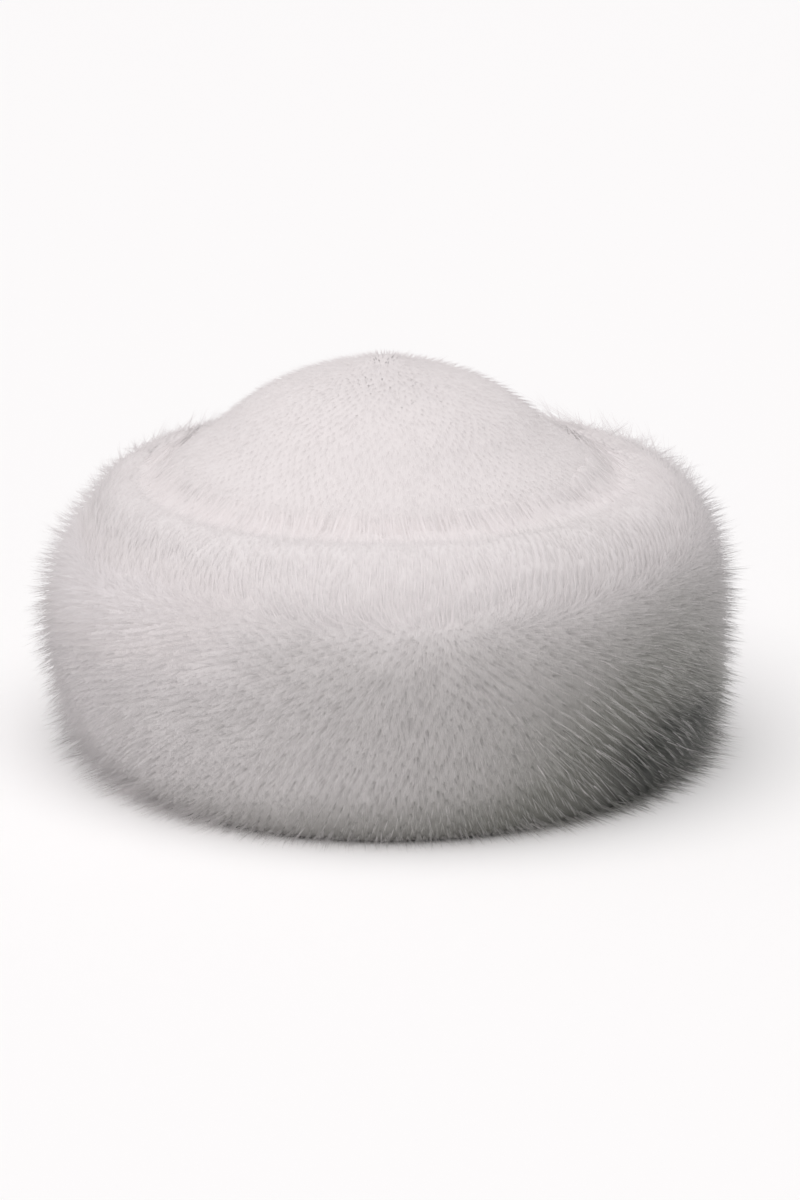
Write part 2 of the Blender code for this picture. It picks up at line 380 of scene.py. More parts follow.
# %% How tall the cuff's fur stands
LAY_FROM = (0.70, 0.84)
LAY_TO = (0.86, 0.94)
CREST_THIN = 0.4
FRONT_SHORT = 0.8
FRONT_ZONE = (0.70, 0.82)
INNER_SHORT = 0.7
INNER_ZONE = (0.84, 0.92)
LONGER = 0.7
LONGER_AT = math.radians(132)
LONGER_WIDE = 0.5


def cuff_stand(angle, along):
    """How flat the fur lies, 1 on the crest, and how much of its full height it has. It is short
    on the front's crest and inside the whole crest, and longer round one angle at the back."""
    lay = smooth_step(along, *LAY_FROM) * fading(along, *LAY_TO)
    stand = 1 - FRONT_SHORT * smooth_step(along, *FRONT_ZONE) * (0.5 + 0.5 * np.cos(angle))
    stand = stand + LONGER * lay * bell(angle % (2 * math.pi), LONGER_AT, LONGER_WIDE)
    return lay, stand * (1 - INNER_SHORT * smooth_step(along, *INNER_ZONE))


# %% How light the cuff's fur is
CUFF_TONE = 0.76
DRIFT = 0.008
DRIFT_SIZE = 0.05
# Darker tone round one angle and low down: partly the fur's own smoke, partly painted shade.
SMOKE_AND_SHADE_AT = math.radians(58)
SMOKE_AND_SHADE_WIDE = math.radians(33)
SMOKE_AND_SHADE = 0.60
SMOKE_AND_SHADE_HEIGHT = 0.098
SMOKE_AND_SHADE_RISE = 0.022
# Painted shade: its darkest spot, low on the shaded side.
DARKEST_SHADE = 0.40
DARKEST_SHADE_AT = math.radians(63)
DARKEST_SHADE_WIDE = math.radians(16)
DARKEST_SHADE_HEIGHT = 0.028
DARKEST_SHADE_TALL = 0.014
# Painted shade over the lower front, ending at a wavy height.
FRONT_SHADE = 0.17
FRONT_SHADE_AT = SMOKE_AND_SHADE_AT / 3
FRONT_SHADE_HEIGHT = 0.124
FRONT_SHADE_RISE = 0.010
FRONT_SHADE_SOFT = 0.045
# Painted shade in a band along the foot.
FOOT_SHADE = 0.17
FOOT_SHADE_HEIGHTS = (0.004, 0.034)
FOOT_SHADE_CLEARS = 1.6
# Painted shade on the crest, deeper at one spot.
CREST_SHADE = 0.05
CREST_SHADE_FROM = (0.70, 0.84)
CREST_SHADE_TO = (0.92, 0.99)
SPOT_SHADE = 0.08
SPOT_SHADE_AT = 0.75
SPOT_SHADE_WIDE = 0.3
# Painted light on one side of the cuff.
PAINTED_LIGHT = 0.20
PAINTED_LIGHT_SINES = (0.2, 0.9)
PAINTED_LIGHT_HEIGHTS = (0.055, 0.095)
PAINTED_LIGHT_TO = (0.74, 0.84)


def cuff_tone(point, angle, along):
    """0 is the darkest tone and 1 is white. From a plain tone are taken painted shade over the
    front that ends at a wavy height, a darkening round one angle that thins evenly with height,
    partly the fur's own smoke and partly painted shade, its darkest spot of painted shade, a band
    of painted shade along the foot and a breath of painted shade on the crest, and painted light is
    added on one side. The crest's darker spot tints only hairs, since the underfur's angles there
    are past a full turn."""
    height = point[..., 2]
    drift = DRIFT * noise(point, DRIFT_SIZE, 51)
    apart = (angle - SMOKE_AND_SHADE_AT + math.pi) % (2 * math.pi) - math.pi
    side = bell(apart, 0.0, SMOKE_AND_SHADE_WIDE)
    # Painted shade over the lower front, ending at a wavy height.
    facing = (0.5 + 0.5 * np.cos(angle - FRONT_SHADE_AT)) ** 2
    front_shade_ends = FRONT_SHADE_HEIGHT + FRONT_SHADE_RISE * (np.cos(angle - FAN_AT) + side) + drift
    front_shade = FRONT_SHADE * facing * fading(height, front_shade_ends - FRONT_SHADE_SOFT, front_shade_ends)
    # Darker round one angle and low down: partly the fur's own smoke, partly painted shade.
    smoke_and_shade_ends = SMOKE_AND_SHADE_HEIGHT + SMOKE_AND_SHADE_RISE * side + drift
    smoke_and_shade = SMOKE_AND_SHADE * side * np.clip(1 - height / smoke_and_shade_ends, 0.0, 1.0)
    # The painted shade's darkest spot, low on the shaded side.
    darkest_shade = DARKEST_SHADE * bell(apart + SMOKE_AND_SHADE_AT, DARKEST_SHADE_AT, DARKEST_SHADE_WIDE)
    darkest_shade = darkest_shade * bell(height, DARKEST_SHADE_HEIGHT, DARKEST_SHADE_TALL)
    # A band of painted shade along the foot, thinner where the side's shade already lies.
    foot = FOOT_SHADE * facing * fading(height, *FOOT_SHADE_HEIGHTS)
    foot = foot * np.maximum(1 - FOOT_SHADE_CLEARS * side, 0.0)
    # A breath of painted shade on the crest, deeper at one spot.
    crest_painted_shade = smooth_step(along, *CREST_SHADE_FROM) * fading(along, *CREST_SHADE_TO)
    crest_painted_shade = crest_painted_shade * (CREST_SHADE + SPOT_SHADE * bell(angle, SPOT_SHADE_AT, SPOT_SHADE_WIDE))
    # Painted light on one side.
    painted_light = PAINTED_LIGHT * smooth_step(-np.sin(angle), *PAINTED_LIGHT_SINES)
    painted_light = painted_light * smooth_step(height, *PAINTED_LIGHT_HEIGHTS) * fading(along, *PAINTED_LIGHT_TO)
    return CUFF_TONE + painted_light - front_shade - smoke_and_shade - darkest_shade - foot - crest_painted_shade


def cuff_flow(point, angle, along, out):
    """All of this for each place: outward direction, lean, comb, lay, stand and tone."""
    out, lean, comb = cuff_comb(point[..., 2], angle, along, out)
    lay, stand = cuff_stand(angle, along)
    return out, lean, comb, lay, stand, cuff_tone(point, angle, along)


rows = np.linspace(0.2, 0.8, 5)
front_tone = cuff_tone(cuff_point(np.zeros(5), rows), np.zeros(5), rows)
print("the front's tone, from the foot up:", front_tone.round(2).tolist())

# %% The crown's flow
CROWN_LEAN = math.radians(64)
PEAK_ZONE = (0.90, 1.0)
FOOT_UPRIGHT = 0.7
CROWN_FOOT = (0.14, 0.34)
CROWN_TONE = 0.77
# Painted light on the crown's pile, low down and most at the front.
CROWN_PAINTED_LIGHT = 0.06
CROWN_PAINTED_LIGHT_ZONE = (0.30, 0.85)


def crown_flow(point, angle, along, out):
    """As for the cuff. The pile leans away from the peak, and turns up where it meets the cuff.
    Light is painted on it low at the front."""
    out = unit(out + [0.0, 0.0, FOOT_UPRIGHT] * fading(along, *CROWN_FOOT)[..., None])
    lean = CROWN_LEAN * fading(along, *PEAK_ZONE)
    # Painted light low on the crown, most at the front.
    painted_light = CROWN_PAINTED_LIGHT * fading(along, *CROWN_PAINTED_LIGHT_ZONE) * (0.5 + 0.5 * np.cos(angle))
    return out, lean, 0.0 * angle, 0.0 * angle, 1.0 + 0.0 * angle, CROWN_TONE + painted_light


# %% [markdown]
# ## One hair, many times
# A hair is drawn out to a fine point, and its root is hidden in the fur. The least closed mesh
# that gives this from every side is a spike of four triangles: three corners stand round the
# root and one is the tip. All the hairs of a sector are one mesh. Fur shines back light as one
# soft mass, not as thousands of little sticks, because light passes from hair to hair. So each
# corner is shaded as if it faced mostly out from the fur, by a custom normal. Each hair's texture
# place is a narrow strip: how light it is goes across, and root to tip goes up, so that one small
# picture can colour them all.

# %% Hair meshes
TONE_STRIP = 0.006
LEAST_TONE = 0.02
SOFTNESS = 0.88
ROLL = math.radians(15)
ROOF = 0.4


def add_mesh(name, points, faces, texture_places, material, normals=None, tone=None):
    """A smooth-shaded mesh object from arrays of points, triangles and the place of each of the
    triangles' corners in the texture. Each point may have a shading normal and a tone."""
    mesh = bpy.data.meshes.new(name)
    mesh.vertices.add(len(points))
    mesh.vertices.foreach_set("co", points.astype(np.float32).ravel())
    mesh.loops.add(faces.size)
    mesh.loops.foreach_set("vertex_index", faces.astype(np.int32).ravel())
    mesh.polygons.add(len(faces))
    mesh.polygons.foreach_set("loop_start", np.arange(0, faces.size, 3, dtype=np.int32))
    mesh.polygons.foreach_set("use_smooth", np.ones(len(faces), bool))
    layer = mesh.uv_layers.new(name="OFBake")
    layer.uv.foreach_set("vector", texture_places.astype(np.float32).ravel())
    mesh.materials.append(material)
    mesh.update(calc_edges=True)
    if normals is not None:
        custom = mesh.attributes.new("custom_normal", "FLOAT_VECTOR", "POINT")
        custom.data.foreach_set("vector", normals.astype(np.float32).ravel())
    if tone is not None:
        kept = mesh.attributes.new("tone", "FLOAT", "POINT")
        kept.data.foreach_set("value", tone.astype(np.float32).ravel())
    piece = bpy.data.objects.new(name, mesh)
    bpy.context.scene.collection.objects.link(piece)
    return piece


SPIKE = np.array([(0, 1, 3), (1, 2, 3), (2, 0, 3), (0, 2, 1)])
SPIKE_UP = np.array([0.0, 0.0, 0.0, 1.0])
SPIKE_ACROSS = np.array([-1.0, 1.0, 0.0, 0.0])


def hair_mesh(name, hairs, material):
    """Closed hairs. Three corners stand round each root at half the width, like a low roof whose
    ridge faces outwards, give or take a small turn, so that both of its slopes catch the light,
    and they run out to the tip. A corner's shading normal is a blend of its own direction and the
    fur's outward one."""
    roots, tips, outwards, width, tone = hairs
    count = len(roots)
    along = unit(tips - roots)
    side = unit(np.cross(along, outwards))
    below = np.cross(along, side)
    turn = ROLL * np.random.default_rng(7).uniform(-1, 1, (count, 1)) - math.pi / 2
    turn = (turn + 2 * math.pi / 3 * np.arange(3))[..., None]
    ring = np.cos(turn) * side[:, None] + ROOF * np.sin(turn) * below[:, None]
    corners = roots[:, None] + ring * width[:, None, None] / 2
    points = np.concatenate([corners, tips[:, None]], 1)
    soft = unit(SOFTNESS * outwards[:, None] + (1 - SOFTNESS) * ring)
    normals = np.concatenate([soft, outwards[:, None]], 1)
    faces = (len(SPIKE_UP) * np.arange(count)[:, None, None] + SPIKE).reshape(-1, 3)
    places = np.empty((count, *SPIKE.shape, 2))
    tone = np.clip(tone, LEAST_TONE, 1 - LEAST_TONE)
    places[..., 0] = tone[:, None, None] + TONE_STRIP * SPIKE_ACROSS[SPIKE]
    places[..., 1] = SPIKE_UP[SPIKE]
    return add_mesh(name, points.reshape(-1, 3), faces, places.reshape(-1, 2), material,
                    normals.reshape(-1, 3))


# %% [markdown]
# ## Shader maths as Python
# A fur material is sums and products of a few noises. Written as Python expressions they can be
# read, so a small class wraps a socket and turns each operator into its Math node.

# %% A wrapper for sockets and nodes


class Value:
    """A socket that a number or another one can be added to, taken from or multiplied with."""

    def __init__(self, tree, socket):
        self.tree = tree
        self.socket = socket

    def maths(self, operation, first, second):
        return self.tree.node("Math", {"operation": operation}, {0: first, 1: second}).out()

    def __add__(self, other):
        return self.maths("ADD", self, other)

    def __sub__(self, other):
        return self.maths("SUBTRACT", self, other)

    def __mul__(self, other):
        return self.maths("MULTIPLY", self, other)


class Node:
    """A node whose outputs are read by name or number."""

    def __init__(self, tree, node):
        self.tree = tree
        self.node = node

    def out(self, name=0):
        return Value(self.tree, self.node.outputs[name])


class Finish:
    """A new material and the one method that adds its nodes."""

    def __init__(self, name):
        self.material = bpy.data.materials.new(name)
        self.material.use_nodes = True
        self.nodes = self.material.node_tree.nodes
        self.links = self.material.node_tree.links
        self.surface = self.nodes["Principled BSDF"]

    def fill(self, sockets, inputs):
        """Sets or links sockets by name or number."""
        for key, value in inputs.items():
            if isinstance(value, Value):
                self.links.new(value.socket, sockets[key])
            else:
                sockets[key].default_value = value

    def node(self, kind, settings=None, inputs=None):
        """Adds a node of that kind, with its settings first and its sockets after."""
        made = self.nodes.new("ShaderNode" + kind)
        for key, value in (settings or {}).items():
            if key == "stops":
                ramp = made.color_ramp
                while len(ramp.elements) < len(value):
                    ramp.elements.new(0.5)
                for element, (place, colour) in zip(ramp.elements, value):
                    element.position = place
                    element.color = (*colour, 1.0)
            else:
                setattr(made, key, value)
        self.fill(made.inputs, inputs or {})
        return Node(self, made)


# %% [markdown]
# ## Hair colour
# The hairs are off-white with a breath of pink, and darker low down, partly by the fur's own smoke
# and partly by painted shade. They are darker near the root and clear at the tip, as real ones
# are, and the roots' darkness is partly painted shade deep in the coat: the darker the tone, the
# more so. The texture strip gives both numbers, so two colour ramps, one for roots and one for
# tips, do it.

# %% The hair material
# The roots' darker colours are partly painted shade deep in the coat.
ROOT_COLOURS_WITH_DEPTH_SHADE = (
    (0.00, (0.040, 0.043, 0.037)),
    (0.35, (0.220, 0.220, 0.200)),
    (0.70, (0.780, 0.747, 0.753)),
    (0.80, (0.805, 0.762, 0.764)),
    (1.00, (0.900, 0.860, 0.875)),
)
TIP_COLOURS = (
    (0.00, (0.130, 0.135, 0.124)),
    (0.35, (0.500, 0.496, 0.468)),
    (0.70, (0.812, 0.768, 0.775)),
    (0.80, (0.828, 0.782, 0.784)),
    (1.00, (0.930, 0.890, 0.905)),
)
ROOT_ENDS = 0.1
TIP_STARTS = 0.75


def hair_finish(name):
    """Tone across the texture strip, from darkest to white, blended from the roots' colours, darker
    partly by painted shade deep in the coat, to the tips' up the strip."""
    finish = Finish(name)
    strip = finish.node("SeparateXYZ", {}, {0: finish.node("UVMap", {"uv_map": "OFBake"}).out()})
    root = finish.node("ValToRGB", {"stops": ROOT_COLOURS_WITH_DEPTH_SHADE}, {0: strip.out("X")})
    tip = finish.node("ValToRGB", {"stops": TIP_COLOURS}, {0: strip.out("X")})
    up = finish.node("MapRange", {}, {"Value": strip.out("Y"), "From Min": ROOT_ENDS,
                                      "From Max": TIP_STARTS})
    colour = finish.node("Mix", {"data_type": "RGBA"}, {0: up.out(), 6: root.out(), 7: tip.out()})
    finish.fill(finish.surface.inputs, {
        "Base Color": colour.out(2),
        "Roughness": 0.6,
        "Specular IOR Level": 0.25,
        "Sheen Weight": 0.15,
    })
    return finish.material


hair_material = hair_finish("hair")

# %% [markdown]
# ## Underfur
# Below the long hairs lies a dense soft underfur, and it closes the form. It could be a plain
# offset of the solid. Here it is a grid over the same surface, sunk below the hair tips and
# roughened by noise. Its tone is a number kept at each of its points, the same one that tints the
# hairs there, with the same painted shade and painted light, and fine streaks that run with the
# fur are noise drawn out along the section.

# %% The underfur's material
UNDERFUR_COLOURS = (
    (0.00, (0.035, 0.037, 0.032)),
    (0.35, (0.220, 0.218, 0.198)),
    (0.70, (0.770, 0.737, 0.740)),
    (0.80, (0.800, 0.757, 0.758)),
    (1.00, (0.900, 0.860, 0.875)),
)
STREAKS = (1500.0, 60.0, 1.0)
SOFT_SCALE = 260.0
FINE_SHARE = 0.6
STREAK_TONE = 0.16
STREAK_DEPTH = 0.0008


def underfur_finish(name):
    """The tone attribute, moved a little up and down by fine streaks, through a colour ramp, and
    the streaks again as a bump."""
    finish = Finish(name)
    tone = finish.node("Attribute", {"attribute_name": "tone"}).out("Fac")
    strip = finish.node("UVMap", {"uv_map": "OFBake"}).out()
    combed = finish.node("Mapping", {}, {"Vector": strip, "Scale": STREAKS}).out()
    fine = finish.node("TexNoise", {}, {"Vector": combed, "Scale": 1.0, "Detail": 2.0}).out()
    place = finish.node("TexCoord").out("Object")
    soft = finish.node("TexNoise", {}, {"Vector": place, "Scale": SOFT_SCALE, "Detail": 3.0}).out()
    streak = fine * FINE_SHARE + soft * (1 - FINE_SHARE)
    streaked = tone + (streak - 0.5) * STREAK_TONE
    colour = finish.node("ValToRGB", {"stops": UNDERFUR_COLOURS}, {0: streaked})
    bump = finish.node("Bump", {}, {"Height": streak, "Distance": STREAK_DEPTH, "Strength": 0.5})
    finish.fill(finish.surface.inputs, {
        "Base Color": colour.out(),
        "Roughness": 0.85,
        "Specular IOR Level": 0.15,
        "Sheen Weight": 0.2,
        "Normal": bump.out(),
    })
    return finish.material


underfur_material = underfur_finish("underfur")

# %% Closed grids


def grid_faces(rows, columns, closed):
    """Triangles of a grid whose columns close round the head, and whose rows close too if closed
    is true. Each square is cut along one diagonal."""
    row, column = np.meshgrid(np.arange(rows if closed else rows - 1), np.arange(columns),
                              indexing="ij")
    beside, above = (column + 1) % columns, (row + 1) % rows
    a, b = row * columns + column, row * columns + beside
    c, d = above * columns + beside, above * columns + column
    return np.stack([a, b, c, a, c, d], -1).reshape(-1, 3)


def grid_places(rows, columns, faces):
    """Each corner's place in the texture: its column across and its row up, with the last column
    and row carried past the seam."""
    column, row = faces % columns, faces // columns
    column = np.where(column.max(1, keepdims=True) - column > columns / 2, column + columns, column)
    row = np.where(row.max(1, keepdims=True) - row > rows / 2, row + rows, row)
    return np.stack([column / columns, row / rows], -1).reshape(-1, 2)


# %% The cuff's underfur
CUFF_COLUMNS = 300
CUFF_ROWS = 92
CUFF_DEPTH = 0.0036
CUFF_ROUGH = 0.0006
LUMP_SIZE = 0.010
GRAIN_SIZE = 0.004
GRAIN_SHARE = 0.6
CUFF_FOOT_ZONE = (0.05, 0.15)
CUFF_FOOT_HEIGHTS = (0.004, 0.020)
PILE_STARTS = 0.084
PILE_FULL = 0.094


def cuff_underfur():
    """The surface of the cuff's fur sunk along its normal, but only sideways near the floor. The
    hidden side closes it: down the pile's slope and the crown's wall to the foot. Its columns
    start at the back, where the texture's seam then is."""
    angle = math.pi + np.arange(CUFF_COLUMNS) * 2 * math.pi / CUFF_COLUMNS
    angle, along = np.meshgrid(angle, np.linspace(0, 1, CUFF_ROWS))
    point, _, _, out = directions(cuff_fur, angle, along)
    _, _, _, lay, _, tone = cuff_flow(point, angle, along, out)
    deep = smooth_step(along, *CUFF_FOOT_ZONE)
    rough = noise(point, LUMP_SIZE, 3) + GRAIN_SHARE * noise(point, GRAIN_SIZE, 4)
    shift = out * (deep * (CUFF_DEPTH * (1 - CREST_THIN * lay) - rough * CUFF_ROUGH))[..., None]
    low = fading(point[..., 2], *CUFF_FOOT_HEIGHTS)
    shift[..., 2] = np.where(shift[..., 2] < 0, shift[..., 2] * (1 - low), shift[..., 2])
    sunk = point - shift
    foot, crease = sunk[0, :, 2], sunk[-1, :, 2]
    slim, wide = CROWN_WALL + GAP, CROWN_WALL + CROWN_PILE + GAP
    bend, shoulder = PILE_STARTS - GAP, PILE_FULL - GAP
    hidden = [(wide, (crease + shoulder) / 2), (wide, shoulder), (slim, bend),
              (slim, (bend + foot) / 2)]
    rings = [np.stack([*oval(angle[0], at), height + 0 * foot], -1) for at, height in hidden]
    tone = np.concatenate([tone, np.repeat(tone[-1:], len(hidden), 0)])
    return np.concatenate([sunk, rings]), tone


rings, tone = cuff_underfur()
faces = grid_faces(len(rings), CUFF_COLUMNS, closed=True)
cuff_under = add_mesh("cuff_underfur", rings.reshape(-1, 3), faces,
                      grid_places(len(rings), CUFF_COLUMNS, faces), underfur_material, tone=tone)
print("cuff underfur:", len(faces), "triangles")

# %% The crown's underfur
CROWN_COLUMNS = 200
CROWN_RIM_HEIGHT = 0.014
CROWN_OUTER_ROWS = 40
CROWN_OUTER_TOP = 0.99
CROWN_INNER_ROWS = 18
CROWN_INNER_TOP = 0.98
PILE_DEPTH = 0.0018
PILE_ROUGH = 0.0004
PILE_LUMP_SIZE = 0.005
PILE_FOOT_ZONE = (0.0, 0.06)
PEAK_SMOOTH = (0.95, 1.0)
TOP_RISE = 0.0003


def crown_underfur():
    """The dome sunk below its pile, down the pile's slope and the bare wall to the rim, then up
    the inside of the wall and over the hollow. Both domes end in a point at their top."""
    turn = math.pi + np.arange(CROWN_COLUMNS) * 2 * math.pi / CROWN_COLUMNS
    wall = [(CROWN_WALL, CROWN_RIM_HEIGHT), (CROWN_WALL, PILE_STARTS),
            (CROWN_WALL + CROWN_PILE, PILE_FULL)]
    outside = [np.stack([*oval(turn, at), 0 * turn + z], -1) for at, z in wall]
    angle, along = np.meshgrid(turn, np.linspace(0, CROWN_OUTER_TOP, CROWN_OUTER_ROWS))
    point, _, _, out = directions(crown_point, angle, along)
    rough = noise(point, PILE_LUMP_SIZE, 5) * fading(along, *PEAK_SMOOTH)
    deep = smooth_step(along, *PILE_FOOT_ZONE) * (PILE_DEPTH - rough * PILE_ROUGH)
    outside = np.concatenate([outside, point - out * deep[..., None]])
    rise = DOME_RISE - CROWN_WALL - CROWN_PILE
    edge_x, edge_y = oval(turn, 0.0)
    inside = [np.stack([edge_x, edge_y, 0 * turn + CROWN_RIM_HEIGHT], -1)]
    for share in np.linspace(0, CROWN_INNER_TOP, CROWN_INNER_ROWS):
        flat, up = math.cos(share * math.pi / 2), math.sin(share * math.pi / 2)
        x = HEAD_AXIS[0] + (edge_x - HEAD_AXIS[0]) * flat
        y = HEAD_AXIS[1] + (edge_y - HEAD_AXIS[1]) * flat
        inside.append(np.stack([x, y, 0 * turn + DOME_CENTRE + rise * up], -1))
    return outside, np.array(inside)


outside, inside = crown_underfur()
rings = np.concatenate([outside[::-1], inside])
tops = np.array([HEAD_AXIS + [0, 0, outside[-1, :, 2].mean() + TOP_RISE],
                 HEAD_AXIS + [0, 0, inside[-1, :, 2].mean() + TOP_RISE]])
faces = grid_faces(len(rings), CROWN_COLUMNS, closed=False)[:, ::-1]
column = np.arange(CROWN_COLUMNS)
beside = (column + 1) % CROWN_COLUMNS
last = (len(rings) - 1) * CROWN_COLUMNS
peak = rings[..., 0].size
hollow = peak + 1
caps = np.concatenate([np.stack([column, beside, 0 * column + peak], -1),
                       np.stack([last + beside, last + column, 0 * column + hollow], -1)])
faces = np.concatenate([faces, caps])
places = grid_places(len(rings) + 1, CROWN_COLUMNS, faces)
points = np.concatenate([rings.reshape(-1, 3), tops])
crown_under = add_mesh("crown_underfur", points, faces, places, underfur_material,
                       tone=np.full(len(points), CROWN_TONE))
print("crown underfur:", len(faces), "triangles")

# %% [markdown]
# ## Tufts
# Long fur doesn't stand hair by hair. Neighbours cling together towards their tips and make soft
# pointed tufts, with shade between them. So hairs are placed by tuft: their roots lie in a small
# disc, and their tips are drawn together. Few hairs reach the very outside, which keeps the
# outline soft. All the arrays have one row for each tuft and one column for each of its hairs.

# %% How light each hair is
PATCHY_LEAST = 0.12
# Patchiness grows with darkness, from the fur's own smoke and from painted shade.
PATCHY_SHADE_AND_SMOKE = 2.6
TONE_DRIFT = 0.06


def hair_tones(tone, drift, look, chance, hairs):
    """The tone of each hair from that of its place. Darker fur is patchier: a slow noise, a chance
    for the tuft and one for the hair are multiplied by a number that grows with how far the tone
    lies below the plain one, less the front shade's depth, so with the fur's own smoke and with
    painted shade. Half of the hair's chance is squared, which gives a few light hairs among darker
    ones."""
    patchy = PATCHY_LEAST + PATCHY_SHADE_AND_SMOKE * np.clip(CUFF_TONE - FRONT_SHADE - tone, 0.0, 1.0)
    uneven = TONE_DRIFT * drift + look["mottle"] * chance.normal(size=tone.shape)
    fleck = chance.normal(size=(len(tone), hairs))
    fleck = look["fleck"] * (0.5 * fleck + 0.5 * (fleck**2 - 1))
    return tone + look["lighter"] * (CUFF_TONE - tone) + patchy * (uneven + fleck) + look["shift"]


# %% Tufts of hair
GOLDEN_ANGLE = math.pi * (3 - math.sqrt(5))
LOCK_SIZE = 0.030
SWAY_SIZE = 0.022
LEAN_DRIFT = 0.10
STEEPEST = math.radians(76)
FLATTER = 0.7
DISC_RANGE = (0.6, 1.4)
SHAKEN = 1.1
RARELY_TALL = 5
FLOOR_CLEAR = 0.0008
FLOOR_VARIES = 0.002
WIDTH_RANGE = (0.75, 1.25)


def tufts(surface, flow, count, hairs, low, high, look, seed):
    """Hairs in tufts: root and tip points, outward directions, widths and tones, and the angle
    round the head of each. A hair runs from a depth under the surface to a height over it.
    Meanwhile it moves along the surface by that times the tangent of its lean, the way it is
    combed, so it follows a roll instead of standing off. Its tuft's tips are drawn together, and
    two slow noises push them to and fro in soft locks."""
    chance = np.random.default_rng(seed)
    angle, along, area = even_places(surface, count, low, high, seed)
    point, _, _, out = directions(surface, angle, along)
    out, lean, comb, lay, stand, tone = flow(point, angle, along, out)
    size = math.sqrt(area / count)
    drift = noise(point, LOCK_SIZE, seed + 1)
    flatter = look["lean"] + (1 - look["lean"]) * FLATTER * lay
    lean = flatter * lean * (1 + LEAN_DRIFT * drift) + look["stray"] * chance.normal(size=count)
    comb = comb + look["sway"] * noise(point, SWAY_SIZE, seed + 2)
    comb = comb + look["stray"] * chance.normal(size=count)
    slope = np.tan(np.clip(lean, -STEEPEST, STEEPEST))[:, None]
    ways = np.stack([np.sin(comb), -np.cos(comb)])[..., None]
    locks = [look["pull"] * noise(point, look["lock"], seed + 3 + k)[:, None] for k in (0, 1)]

    spot = np.arange(hairs)
    disc = np.sqrt((spot + 0.5) / hairs)
    turn = spot * GOLDEN_ANGLE + chance.uniform(0, 2 * math.pi, (count, 1))
    wide = size * look["spread"] * disc * chance.uniform(*DISC_RANGE, (count, hairs))
    beside = np.stack([wide * np.cos(turn), wide * np.sin(turn)])
    shaken = SHAKEN * size * chance.normal(size=(2, count, 1))
    height = look["height"] + look["varies"] * chance.normal(size=(count, 1))
    height = height + look["tall"] * chance.random((count, 1)) ** RARELY_TALL * (1 - disc)
    height = (height - look["ragged"] * chance.random((count, hairs))) * stand[:, None]
    depth = look["depth"] * (1 - CREST_THIN * lay[:, None])
    reach = (depth + height) * np.sqrt(1 + slope**2)
    push = reach * (np.array(locks) + look["fray"] * chance.normal(size=(2, count, hairs)))
    lift = FLOOR_CLEAR + FLOOR_VARIES * chance.random((count, hairs))

    ends = []
    for share in (0.0, 1.0):
        over = share * (depth + height) - depth
        move = shaken + beside * (1 - share * (1 - look["gather"])) + ways * over * slope
        move = move + share * push
        place = shifted(surface, angle[:, None], along[:, None], move[0], move[1])
        place = place + over[..., None] * out[:, None]
        place[..., 2] = np.maximum(place[..., 2], lift)
        ends.append(place.reshape(-1, 3))
    tone = hair_tones(tone[:, None], drift[:, None], look, chance, hairs)
    width = look["width"] * chance.uniform(*WIDTH_RANGE, (count, hairs))
    outwards = np.broadcast_to(out[:, None], (count, hairs, 3)).reshape(-1, 3)
    return [*ends, outwards, width.ravel(), tone.ravel()], np.repeat(angle, hairs)


# %% [markdown]
# ## The fur itself
# The cuff has a dense coat of hairs, whose tips end at many depths, and fewer and longer guard
# hairs, which make the wispy outline: single ones, tufts, and a fringe at the foot. The crown has
# a short pile with a few longer hairs. Each look is a table. Stray, sway, lock and pull say how
# untidily the hairs lie, spread, gather and fray how close they are at the root and at the tip,
# and depth to ragged how far they run under and over the surface, in metres. Lighter to shift
# change the tone. One more number, lean, is the share of the full lean that they take.

# %% The coat
COAT_LOOK = {
    "stray": 0.06, "sway": 0.30, "lock": 0.014, "pull": 0.06, "lean": 1.0,
    "spread": 0.66, "gather": 0.45, "fray": 0.025,
    "depth": 0.0052, "height": 0.0022, "varies": 0.0006, "tall": 0.0, "ragged": 0.0036,
    "width": 0.00034, "lighter": 0.0, "mottle": 0.05, "fleck": 0.24, "shift": 0.0,
}
COAT_TUFTS = 10600
COAT_TUFT_HAIRS = 14
COAT_FROM, COAT_TO = 0.19, 0.999
SECTORS = ("front", "left", "back", "right")
hairs, angle = tufts(cuff_fur, cuff_flow, COAT_TUFTS, COAT_TUFT_HAIRS, COAT_FROM, COAT_TO,
                     COAT_LOOK, 11)
sector = ((angle + math.pi / 4) // (math.pi / 2)).astype(int) % 4
cuff_hair = []
for number, side in enumerate(SECTORS):
    own = [values[sector == number] for values in hairs]
    piece = hair_mesh("cuff_fur_" + side, own, hair_material)
    cuff_hair.append(piece)
    print(piece.name, len(piece.data.polygons), "triangles")

# %% The guard hairs
# The guard hairs are a little greyer than the coat, a painted shade that greys the wispy outline.
FUZZ_LOOK = {
    "stray": 0.12, "sway": 0.35, "lock": 0.012, "pull": 0.16, "lean": 0.50,
    "spread": 0.66, "gather": 0.40, "fray": 0.06,
    "depth": 0.0055, "height": 0.0100, "varies": 0.0010, "tall": 0.0050, "ragged": 0.0105,
    "width": 0.00036, "lighter": 0.10, "mottle": 0.04, "fleck": 0.12, "shift": -0.05,
}
TUFT_LOOK = dict(FUZZ_LOOK, gather=0.75, spread=0.45, height=0.0135, ragged=0.0075)
FOOT_LOOK = dict(FUZZ_LOOK, gather=0.60, height=0.0210, ragged=0.0150, lean=0.20, stray=0.25,
                 lighter=0.35, shift=0.0)
